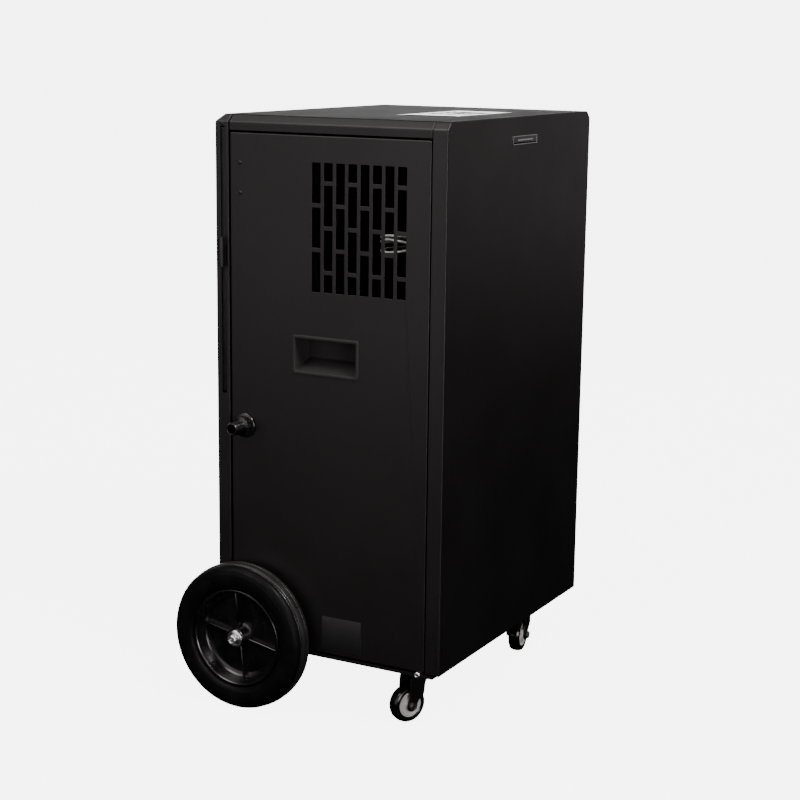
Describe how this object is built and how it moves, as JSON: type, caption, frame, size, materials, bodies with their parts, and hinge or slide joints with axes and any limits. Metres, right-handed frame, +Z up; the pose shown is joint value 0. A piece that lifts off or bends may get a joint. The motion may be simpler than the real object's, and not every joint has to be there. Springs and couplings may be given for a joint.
{
  "type": "commercial dehumidifier",
  "caption": "Tall wheeled sheet-metal dehumidifier with side outlet grille, recessed carry handle, slide-out rear filter, drain spout and top control panel.",
  "frame": {"origin": "on the floor, under the middle of the bounding box", "axes": "+Z up, -Y towards the plain front cover, -X towards the side with the drain spout and filter slot"},
  "size_m": [0.688, 0.4914, 1.003],
  "materials": {
    "black_paint": "fine-texture powder coat, semi-gloss",
    "satin_black_paint": "fine-texture powder coat, satin",
    "moulded_black": "moulded, lightly textured",
    "gloss_panel": "polished",
    "display_lens": "polished, smoked",
    "tyre_rubber": "moulded rubber",
    "soft_rubber": "matte",
    "pale_hub": "moulded, semi-gloss",
    "zinc": "zinc plated",
    "galvanised": "galvanised sheet",
    "aluminium": "mill finish",
    "copper": "bright copper",
    "filter_cloth": "woven nylon",
    "circuit_board": "solder mask"
  },
  "bodies": {
    "cabinet": {"base_pan": "black_paint", "front_frame": "black_paint", "post_rear_left": "black_paint", "post_rear_right": "black_paint", "front_cover": "black_paint", "left_door": "black_paint", "right_door": "black_paint", "rear_panel": "black_paint", "fan_motor": "black_paint", "compressor": "black_paint", "axle_bracket_left": "black_paint", "axle_bracket_right": "black_paint", "fan_bulkhead": "black_paint", "motor_bracket": "black_paint", "filter_track": "black_paint", "top_cover": "satin_black_paint", "handle_cup_left": "moulded_black", "handle_cup_right": "moulded_black", "cable_gland": "moulded_black", "control_housing": "moulded_black", "drain_spout": "moulded_black", "spout_nut": "moulded_black", "control_fascia": "gloss_panel", "display_window": "display_lens", "compressor_mount": "soft_rubber", "drain_hose": "soft_rubber", "axle": "zinc", "axle_washer_left": "zinc", "axle_washer_right": "zinc", "caster_plate_left": "zinc", "caster_plate_right": "zinc", "drip_tray": "galvanised", "electrical_box": "galvanised", "evaporator": "aluminium", "condenser": "aluminium", "capacitor": "aluminium", "badge": "aluminium", "accumulator": "copper", "discharge_tube": "copper", "suction_tube": "copper", "control_board": "circuit_board"},
    "wheel_left": {"tyre_left": "tyre_rubber", "wheel_hub_left": "moulded_black"},
    "wheel_right": {"tyre_right": "tyre_rubber", "wheel_hub_right": "moulded_black"},
    "caster_left": {"caster_fork_left": "black_paint", "caster_bolt_left": "zinc"},
    "caster_right": {"caster_fork_right": "black_paint", "caster_bolt_right": "zinc"},
    "caster_wheel_left": {"caster_tyre_left": "tyre_rubber", "caster_hub_left": "pale_hub"},
    "caster_wheel_right": {"caster_tyre_right": "tyre_rubber", "caster_hub_right": "pale_hub"},
    "filter": {"filter_frame": "moulded_black", "filter_mesh": "filter_cloth"},
    "fan": {"fan_impeller": "moulded_black"},
    "button_1": {"button_1": "moulded_black"},
    "button_2": {"button_2": "moulded_black"},
    "button_3": {"button_3": "moulded_black"},
    "button_4": {"button_4": "moulded_black"}
  },
  "joints": [
    {"name": "wheel_left_spin", "type": "hinge", "parent": "cabinet", "child": "wheel_left", "pos_m": [-0.312, 0.11875, 0.127], "axis": [1, 0, 0], "continuous": true},
    {"name": "wheel_right_spin", "type": "hinge", "parent": "cabinet", "child": "wheel_right", "pos_m": [0.312, 0.11875, 0.127], "axis": [1, 0, 0], "continuous": true},
    {"name": "caster_left_swivel", "type": "hinge", "parent": "cabinet", "child": "caster_left", "pos_m": [-0.208, -0.16925, 0.08], "axis": [0, 0, 1], "continuous": true},
    {"name": "caster_left_roll", "type": "hinge", "parent": "caster_left", "child": "caster_wheel_left", "pos_m": [-0.22968, -0.15896, 0.032], "axis": [-0.4289, -0.9033, 0], "continuous": true},
    {"name": "caster_right_swivel", "type": "hinge", "parent": "cabinet", "child": "caster_right", "pos_m": [0.208, -0.16925, 0.08], "axis": [0, 0, 1], "continuous": true},
    {"name": "caster_right_roll", "type": "hinge", "parent": "caster_right", "child": "caster_wheel_right", "pos_m": [0.18423, -0.17259, 0.032], "axis": [0.1392, -0.9903, 0], "continuous": true},
    {"name": "filter_slide", "type": "slide", "parent": "cabinet", "child": "filter", "axis": [-1, 0, 0], "range_m": [0, 0.5]},
    {"name": "fan_spin", "type": "hinge", "parent": "cabinet", "child": "fan", "pos_m": [0, 0.02575, 0.753], "axis": [0, 1, 0], "continuous": true},
    {"name": "button_1_press", "type": "slide", "parent": "cabinet", "child": "button_1", "axis": [0, 0, -1], "range_m": [0, 0.001], "stiffness_N_per_m": 600},
    {"name": "button_2_press", "type": "slide", "parent": "cabinet", "child": "button_2", "axis": [0, 0, -1], "range_m": [0, 0.001], "stiffness_N_per_m": 600},
    {"name": "button_3_press", "type": "slide", "parent": "cabinet", "child": "button_3", "axis": [0, 0, -1], "range_m": [0, 0.001], "stiffness_N_per_m": 600},
    {"name": "button_4_press", "type": "slide", "parent": "cabinet", "child": "button_4", "axis": [0, 0, -1], "range_m": [0, 0.001], "stiffness_N_per_m": 600}
  ]
}
